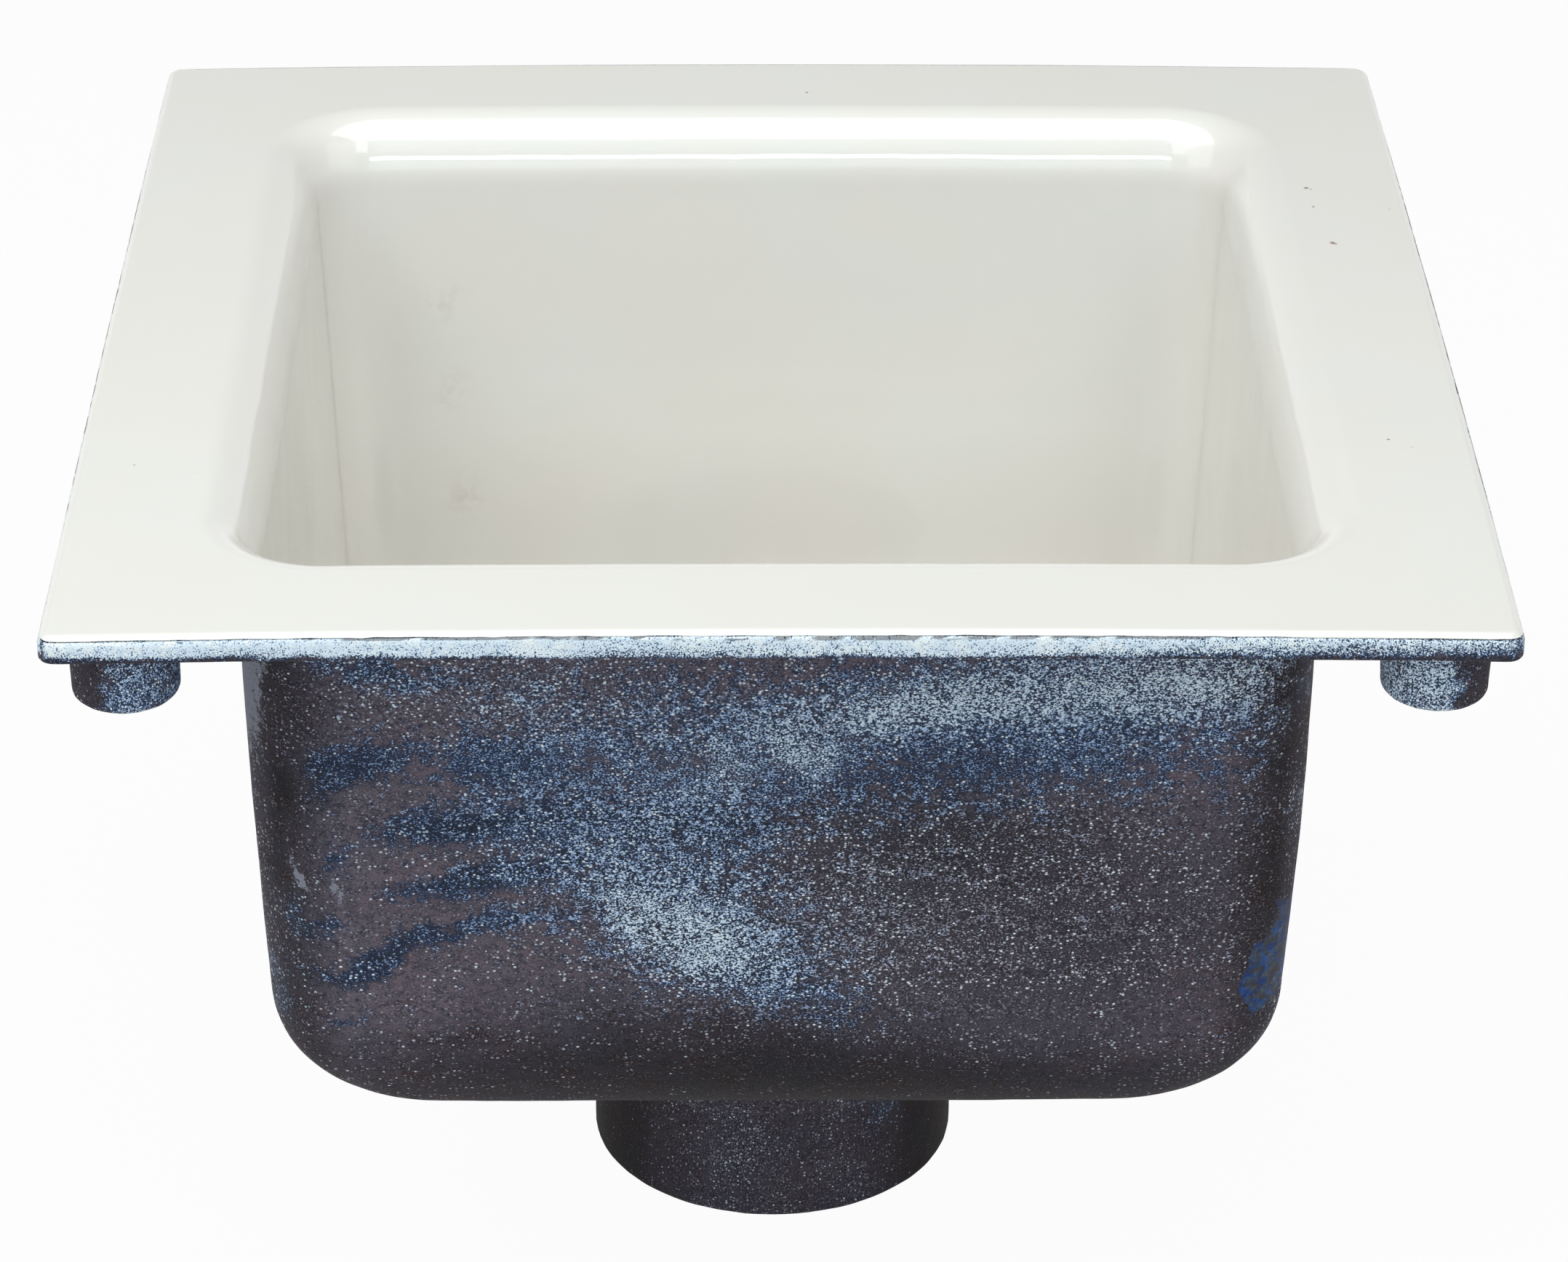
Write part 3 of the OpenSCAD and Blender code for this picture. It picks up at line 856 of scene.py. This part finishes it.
def frit_salt(g, skin, colour):
    """Fine salt of frit all over, whitening into painted glints where the frit lies thick and
    dimming under painted shade; also says where its grains lie.
    """
    light, dark, glaze = skin.light, skin.dark, skin.glaze
    away, (pick, tint, size) = g.cells(skin.coords, 0.86)
    edge = g.total(0.2, g.times(size, 0.16))
    near = g.step(g.over(away, edge), -0.1, 0.02, 1, 0)
    bar = g.total(0.58, g.times(light, -0.5), g.step(light, 1.4, 2.2, 0, 1.4),
                  g.step(dark, 0.6, 1.6, 0, 0.35), g.times(glaze, -0.16),
                  g.swing(skin.ragged, -0.9), g.swing(skin.mottle, -0.9))
    salted = g.times(near, g.step(g.over(pick, bar), 0.0, 0.05))
    power = g.total(2.6, g.times(light, -1.0), g.times(glaze, -0.8))
    low = g.mix(glaze, (0.22, 0.2, 0.24), (0.13, 0.19, 0.3))
    high = g.mix(glaze, (0.86, 0.87, 0.96), (0.79, 0.9, 1.0))
    salt = g.mix(g.math("POWER", tint, power), low, high)
    salt = g.mix(g.step(dark, 0.6, 1.6, 0, 0.7), salt, (0.075, 0.07, 0.08))
    return g.mix(salted, colour, salt), salted


def frit_crumbs(g, skin, colour):
    """Lone crumbs of frit; also says where they lie."""
    away, picks = g.cells(skin.coords, 2.4)
    crumbs = g.times(g.step(away, 0.07, 0.13, 1, 0), g.step(picks[0], 0.7, 0.72))
    return g.mix(g.times(crumbs, 0.85), colour, (0.62, 0.72, 0.82)), crumbs


def frit_beads_and_glints(g, skin, colour):
    """Bright beads of frit, partly painted glints, that stand out where the frit is dense."""
    away, picks = g.cells(skin.coords, 0.95)
    bar = g.total(1.22, g.times(skin.light, -0.85), g.step(skin.light, 1.3, 1.8, 0, 1.3),
                  g.swing(skin.mottle, -0.8))
    shown = g.step(g.over(picks[0], bar), 0.0, 0.06)
    beads = g.times(g.step(away, 0.16, 0.3, 1, 0), shown)
    return g.mix(beads, colour, (0.92, 0.97, 1.0))


def blue_run(g, skin, colour):
    """A run of vivid blue ground coat in a web round bare islands; also says where it lies."""
    run = g.step(g.total(skin.blue, g.swing(skin.mottle, 1.2)), 0.34, 0.46)
    web = g.math("ABSOLUTE", g.swing(g.noise(skin.coords, 3.4, 2, 0.5, 0.6), 1.0))
    vein = g.step(g.total(web, g.swing(skin.ragged, 0.12)), 0.03, 0.06, 1, 0)
    tone = g.step(skin.ragged, 0.42, 0.6)
    vivid = g.mix(tone, (0.01, 0.04, 0.17), (0.026, 0.098, 0.29))
    island = g.mix(tone, (0.04, 0.036, 0.042), (0.055, 0.075, 0.105))
    return g.mix(g.times(run, 0.9), colour, g.mix(vein, island, vivid)), run


def dry_scuffs(g, skin, colour):
    """Dry grey scuffs."""
    broken = g.total(skin.scuff, g.swing(skin.ragged, 1.6), g.swing(skin.grain, 0.8))
    scuff = g.mix(skin.grain, (0.19, 0.19, 0.24), (0.36, 0.38, 0.45))
    return g.mix(g.times(g.step(broken, 0.3, 0.6), 0.85), colour, scuff)


def iron_material(name, stretch=(0.72, 0.72, 1)):
    """Cast iron with a matt brown skin, runs of dark glaze and droplets of pale frit, with painted
    sheen and glints on the frit and painted shade. Fields on the mesh say how far the glaze, the
    frit and its painted sheen, the painted shade, the blue and the scuffs go."""
    material, g = new_material(name)
    skin = iron_skin(g, stretch)
    colour = iron_ground(g, skin)
    colour, glassy = frit_drops(g, skin, colour)
    colour, salted = frit_salt(g, skin, colour)
    colour, crumbs = frit_crumbs(g, skin, colour)
    colour = frit_beads_and_glints(g, skin, colour)
    colour, run = blue_run(g, skin, colour)
    colour = dry_scuffs(g, skin, colour)
    relief = g.total(g.times(skin.grain, 0.7), g.times(skin.ragged, 0.5), g.times(crumbs, 0.25))
    normal = g.bump(relief, 0.9, 0.6 * MM)
    shiny = g.math("MAXIMUM", glassy, salted)
    roughness = g.total(
        0.8, g.times(skin.glaze, -0.3), g.times(run, -0.16), g.times(shiny, -0.18))
    surface(g, Base_Color=colour, Roughness=roughness, Specular_IOR_Level=0.18, Normal=normal)
    return material


def enamel_base(g, coords):
    """Off-white in two tones, with rosy streaks, a purple outer edge and brown smudges."""
    cloud = g.step(g.noise(coords, 40, 1), 0.3, 0.7)
    base = g.mix(cloud, (0.832, 0.802, 0.752), (0.82, 0.808, 0.766))
    streak = g.noise(g.coords((1, 1, 0.1)), 6.5, 1)
    rosy = g.times(g.step(streak, 0.5, 0.75), g.field("streaks"))
    base = g.mix(g.times(rosy, 0.07), base, (0.8, 0.72, 0.68))
    thin = g.total(g.field("rim"), g.swing(g.noise(coords, 1.3, 2, 0.6), 1.2))
    base = g.mix(g.times(g.step(thin, 0.35, 0.65), 0.9), base, (0.13, 0.1, 0.16))
    smudge = g.times(g.field("smudge"), g.step(g.noise(coords, 3.2, 3, 0.6), 0.42, 0.62))
    return g.mix(g.times(smudge, 0.22), base, (0.42, 0.34, 0.28))


def rust_specks(g, coords, base):
    """The specks on the flange, with uneven edges."""
    where = g.node("ShaderNodeTexCoord").outputs["Object"]
    blotch = g.noise(coords, 0.5, 1)
    for x, y, radius in RUST_SPECKS:
        away = g.node("ShaderNodeVectorMath", {"operation": "DISTANCE"}, Vector=where)
        g.feed(away.inputs[1], (x * MM, y * MM, TOP))
        soft = g.total(away.outputs["Value"], g.swing(blotch, 0.7 * MM))
        speck = g.step(soft, radius * 0.7 * MM, radius * 1.4 * MM, 0.9, 0)
        base = g.mix(speck, base, (0.26, 0.12, 0.065))
    return base


def enamel_material():
    """Off-white porcelain enamel: glossy, faintly mottled, with pinholes and a few smudges."""
    material, g = new_material("porcelain_enamel")
    coords = g.coords()
    base = enamel_base(g, coords)
    away, picks = g.cells(coords, 17)
    spot = g.math("LESS_THAN", away, g.total(g.times(picks[1], 0.018), 0.007))
    pinhole = g.times(spot, g.math("GREATER_THAN", picks[0], 0.62))
    base = g.mix(g.times(pinhole, 0.75), base, (0.2, 0.165, 0.15))
    base = rust_specks(g, coords, base)
    away, picks = g.cells(coords, 5.2)
    pip = g.times(g.step(away, 0.0, 0.09, 1, 0), g.step(picks[0], 0.8, 0.82))
    peel = g.noise(coords, 2.6, 1.5)
    height = g.total(g.times(peel, 0.01), g.times(pip, 0.05), g.times(pinhole, -0.06))
    normal = g.bump(height, 1.0, 1.0 * MM)
    # The broad lobe is the coat's fine orange peel, the sharp one its glassy skin
    roughness = g.step(g.noise(coords, 12), 0.35, 0.7, 0.3, 0.36)
    surface(g, Base_Color=base, Roughness=roughness, Specular_IOR_Level=0.4, Coat_Weight=1.0,
            Coat_IOR=1.55, Coat_Roughness=0.035, Normal=normal, Coat_Normal=normal)
    return material


def strainer_material():
    """Satin cast metal, turned on its face, with faint water marks."""
    material, g = new_material("strainer_metal")
    coords = g.coords()
    apart = g.node("ShaderNodeSeparateXYZ", Vector=coords)
    x_square, y_square = (g.math("POWER", apart.outputs[i], 2.0) for i in range(2))
    radius = g.math("SQRT", g.total(x_square, y_square))
    ridge = g.node("ShaderNodeCombineXYZ", X=radius)
    turned = g.noise(ridge.outputs[0], 0.32, 2, 0.6)
    mark = g.step(g.noise(coords, 9, 4, 0.6, 0.5), 0.5, 0.66)
    base = g.mix(turned, (0.5, 0.51, 0.52), (0.62, 0.63, 0.635))
    base = g.mix(g.times(mark, 0.4), base, (0.44, 0.43, 0.4))
    height = g.total(g.times(turned, 0.05), g.times(g.noise(coords, 1.4), 0.03))
    normal = g.bump(height, 0.6, 1.0 * MM)
    roughness = g.step(mark, 0, 1, 0.3, 0.46)
    surface(g, Base_Color=base, Metallic=1.0, Roughness=roughness, Normal=normal)
    return material


def show_background(g):
    """One for rays that see the background: straight, mirrored and through glass."""
    path = g.node("ShaderNodeLightPath")
    mirrored = g.math("MAXIMUM", path.outputs["Is Camera Ray"], path.outputs["Is Glossy Ray"])
    return g.math("MAXIMUM", mirrored, path.outputs["Is Transmission Ray"])


def floor_material():
    """Pale matt floor that reads as white in the picture and still takes the sink's shadow."""
    material, g = new_material("studio_floor")
    matt = g.node("ShaderNodeBsdfDiffuse", Color=grey(FLOOR_GREY))
    glow = g.node("ShaderNodeEmission", Color=grey(1.0), Strength=1.0)
    both = g.node("ShaderNodeMixShader", Fac=g.times(show_background(g), FLOOR_GLOW))
    g.feed(both.inputs[1], matt.outputs[0])
    g.feed(both.inputs[2], glow.outputs[0])
    g.node("ShaderNodeOutputMaterial", Surface=both.outputs[0])
    return material


def dress(piece, material, body, slot, *nodes):
    piece.data.materials.append(material)
    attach(piece, body)
    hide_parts(*nodes)


def add_coat():
    coat = enamel_coat()
    points, normals = places(coat), directions(coat)
    x, y, z = points.T
    upright = 1 - step(abs(normals[:, 2]), 0.15, 0.4)
    corner_near = step(np.minimum(abs(x), abs(y)), 78 * MM, 98 * MM)
    # The coat thins to a purple line at its outer edge, broader at the back
    back = (y > HALF - 5 * MM) * (1 - step(abs(x), HALF - 7 * MM, HALF - 3 * MM))
    start = (0.15 + 2.5 * back + 0.35 * (abs(x) > HALF - 5 * MM)) * MM
    paint(
        coat,
        streaks=upright * (0.15 + 0.85 * corner_near),
        smudge=blobs(x, z, BACK_SMUDGES) * (y > 0),
        rim=1 - step(HALF - side_reach(points) - start, -0.25 * MM, 0.15 * MM),
    )
    sharpen(coat)
    dress(coat, enamel_material(), "sink", "enamel", "enamel_coat")


def add_flange(iron):
    """The flange, dusted pale on its outer face and a little underneath; the dust carries painted
    sheen, and the bare face painted shade.
    """
    flange = casting_flange()
    points = places(flange)
    x, _, z = points.T
    face = step(side_reach(points), HALF - 2 * MM, HALF - 0.6 * MM)
    wander = 0.9 * MM * swell(points, 11 * MM, 4.0, 2) + 0.6 * MM * swell(points, 3 * MM, 2.0, 2)
    frit_low = FLANGE_UNDER - 0.1 * MM
    frit = face * step(z + 0.6 * wander, frit_low, frit_low + 1.4 * MM)
    thin = step(swell(points, 30 * MM, 9.0), 0.1, 0.6)
    under_light = (1 - face) * (0.15 + 0.35 * step(swell(points, 28 * MM, 6.0, 2), -0.2, 0.5))
    # A broken dark line shows between the coat's edge and the frit: bare dark iron, deepened by
    # painted shadow under the coat's overhang
    broken = step(swell(points, 1.6 * MM, 8.0, 2), -0.25, 0.15)
    gap = face * step(z, TOP - 1.95 * MM, TOP - 1.45 * MM) * broken
    low = 1 - step(z, FLANGE_UNDER + 1 * MM, FLANGE_UNDER + 4 * MM)
    strength = 2.2 - 0.4 * thin - 0.6 * step(x, 20 * MM, 120 * MM) - 0.5 * low
    paint(
        flange,
        light=frit * strength + under_light,
        navy=0.55 + 0.45 * frit,
        # Painted shade on the face where the frit is thin, and in that broken line
        dark=0.7 * face * (1 - frit) + 2.6 * gap,
        blue=0, scuff=0,
    )
    dress(flange, iron, "sink", "iron", "rim_flange")


def add_bowl(iron):
    bowl = casting_bowl()
    paint(bowl, **side_fields(places(bowl)))
    dress(bowl, iron, "sink", "iron", "bowl_shell")


def add_outlet(iron):
    """The outlet, palest at its front, where its frit carries painted light, and darkened by
    painted shade on its flanks.
    """
    outlet = casting_outlet()
    points = places(outlet)
    x, y, z = points.T
    # Painted light on the side facing the lamps, painted shade on the flanks
    facing = step(-y - abs(x) * 0.9, 0, 30 * MM)
    shaded_flank = step(abs(x), 0.62 * SPIGOT_R, 0.88 * SPIGOT_R) * (1 - step(y, -4 * MM, 10 * MM))
    paint(
        outlet,
        light=0.75 * facing * (0.7 + 0.5 * swell(points, 14 * MM, 1.0, 2)),
        navy=-0.6 + 1.4 * blobs(x, z, OUTLET_NAVY),
        dark=0.7 - 0.3 * facing + 1.4 * shaded_flank,
        blue=0, scuff=0,
    )
    dress(outlet, iron, "sink", "iron", "outlet_collar", "outlet_spigot")


def add_lug(node, iron):
    """A lug, dusted on its sides toward the middle and toward the front or back, with painted
    shade on its other sides.
    """
    lug = casting_lug(node)
    points, normals = places(lug), directions(lug)
    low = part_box(node)[0]
    side_x, side_y = np.sign(low.xy)
    toward = -side_x * normals[:, 0] * 0.75 + side_y * normals[:, 1] * 0.45 + 0.25
    ragged = 0.25 * swell(points, 3 * MM, 7.0, 2)
    frit = step(toward + ragged, 0.22, 0.62)
    paint(
        lug,
        light=(1.4 + 0.25 * side_x) * frit * (0.75 + 0.5 * ragged),
        navy=0.25 + 0.6 * frit,
        dark=0.75 - 0.6 * frit,
        blue=0, scuff=0,
    )
    dress(lug, iron, "sink", "iron", node)


def build():
    bowl_iron = iron_material("cast_iron_bowl")
    rim_iron = iron_material("cast_iron_rim", (1, 1, 1))
    add_coat()
    add_flange(rim_iron)
    add_bowl(bowl_iron)
    add_outlet(rim_iron)
    for node in [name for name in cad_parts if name.startswith("corner_lug")]:
        add_lug(node, rim_iron)
    strainer = drilled_strainer()
    dress(strainer, strainer_material(), "strainer", "strainer_metal", "drain_strainer")


# Stage, lights and camera

def add_floor():
    mesh = bpy.data.meshes.new("studio_floor")
    low, high = -FLOOR_HALF, FLOOR_HALF
    corners = [(low, low, 0), (high, low, 0), (high, high, 0), (low, high, 0)]
    mesh.from_pydata(corners, [], [(0, 1, 2, 3)])
    mesh.materials.append(floor_material())
    new_object("studio_floor", mesh)


def add_light(name, place, aim, width, length, radiance, colour):
    """A rectangular lamp of a given brightness, turned to shine at aim."""
    lamp = bpy.data.lights.new(name, "AREA")
    lamp.shape = "RECTANGLE"
    lamp.size, lamp.size_y = width, length
    lamp.energy = radiance * pi * width * length
    lamp.color = colour
    made = new_object(name, lamp)
    made.location = place
    made.rotation_mode = "QUATERNION"
    made.rotation_quaternion = (aim - place).to_track_quat("-Z", "Y")
    made.visible_camera = False


def add_world():
    """A white backdrop, which reflections see dimmer overhead than at the horizon."""
    world = bpy.data.worlds.new("studio")
    bpy.context.scene.world = world
    world.use_nodes = True
    g = Graph(world.node_tree)
    toward = g.node("ShaderNodeTexCoord").outputs["Generated"]
    height = g.node("ShaderNodeSeparateXYZ", Vector=toward).outputs[2]
    shown = g.step(height, 0.05, 0.45, 1.0, OVERHEAD)
    strength = g.mix(show_background(g), grey(AMBIENT), shown)
    back = g.node("ShaderNodeBackground", Color=grey(1.0), Strength=strength)
    g.node("ShaderNodeOutputWorld", Surface=back.outputs[0])


FLOOR_HALF = 9.0
FLOOR_GREY = 0.8
FLOOR_GLOW = 0.96
AMBIENT = 0.03
OVERHEAD = 0.5
RIM = Vector((0, 0, TOP))

# Lamps by their place from the rim's centre, with size, radiance and colour
LIGHTS = [
    ("softbox", (-0.24, -0.305, 1.1), 1.8, 1.11, 2.62, (0.98, 1.0, 0.99)),
    ("front_panel", (0, -1.55, 1.33), 0.8, 0.8, 0.6, (0.6, 0.88, 1.0)),
    ("front_panel_left", (-0.9, -1.35, 1.25), 0.8, 0.8, 2.0, (0.88, 0.96, 1.0)),
    ("front_panel_right", (0.9, -1.35, 1.25), 0.6, 0.6, 2.7, (0.88, 0.96, 1.0)),
    ("front_strip", (0, -1.57, 0.6), 1.15, 0.17, 5.8, (0.85, 0.95, 1.0)),
    ("front_low", (0, -1.6, 0.3), 1.3, 0.34, 0.9, (0.55, 0.84, 1.0)),
    ("left_fill", (-1.8, -0.6, 1.0), 1.6, 1.4, 1.05, (1.0, 1.0, 0.98)),
    ("right_fill", (1.8, -0.6, 1.0), 1.8, 1.5, 0.75, (1.0, 1.0, 0.98)),
]

# The camera of the photograph: its turn about the sink, and where the rim's centre lies in
# the camera's own axes (right, down, ahead)
CAMERA_PITCH = 28.438
CAMERA_YAW = -0.79
CAMERA_ROLL = 0.268
CAMERA_LENS = 122.3
RIM_RIGHT = -2.413 * MM
RIM_DOWN = -72.073 * MM
RIM_AHEAD = 1217.58 * MM


def add_camera():
    pitch, yaw, roll = (radians(a) for a in (CAMERA_PITCH, CAMERA_YAW, CAMERA_ROLL))
    turn = Matrix.Rotation(yaw, 3, "Z")
    right = turn @ Vector((1, 0, 0))
    ahead = turn @ Vector((0, cos(pitch), -sin(pitch)))
    down = turn @ Vector((0, -sin(pitch), -cos(pitch)))
    eye = RIM - RIM_RIGHT * right - RIM_DOWN * down - RIM_AHEAD * ahead
    rolled_right = cos(roll) * right - sin(roll) * down
    rolled_down = sin(roll) * right + cos(roll) * down
    lens = bpy.data.cameras.new("camera")
    lens.sensor_width = 36
    lens.lens = CAMERA_LENS
    lens.clip_start, lens.clip_end = 0.05, 50
    camera = new_object("camera", lens)
    axes = Matrix((rolled_right, -rolled_down, -ahead)).transposed()
    camera.matrix_world = Matrix.Translation(eye) @ axes.to_4x4()
    bpy.context.scene.camera = camera


add_camera()
build()
add_floor()
add_world()
for name, offset, width, length, radiance, colour in LIGHTS:
    place = RIM + Vector(offset)
    # The softbox shines straight down, the others at the rim's centre
    aim = Vector((place.x, place.y, TOP)) if name == "softbox" else RIM
    add_light(name, place, aim, width, length, radiance, colour)
bpy.context.scene.view_settings.view_transform = "Standard"

bpy.context.view_layer.update()
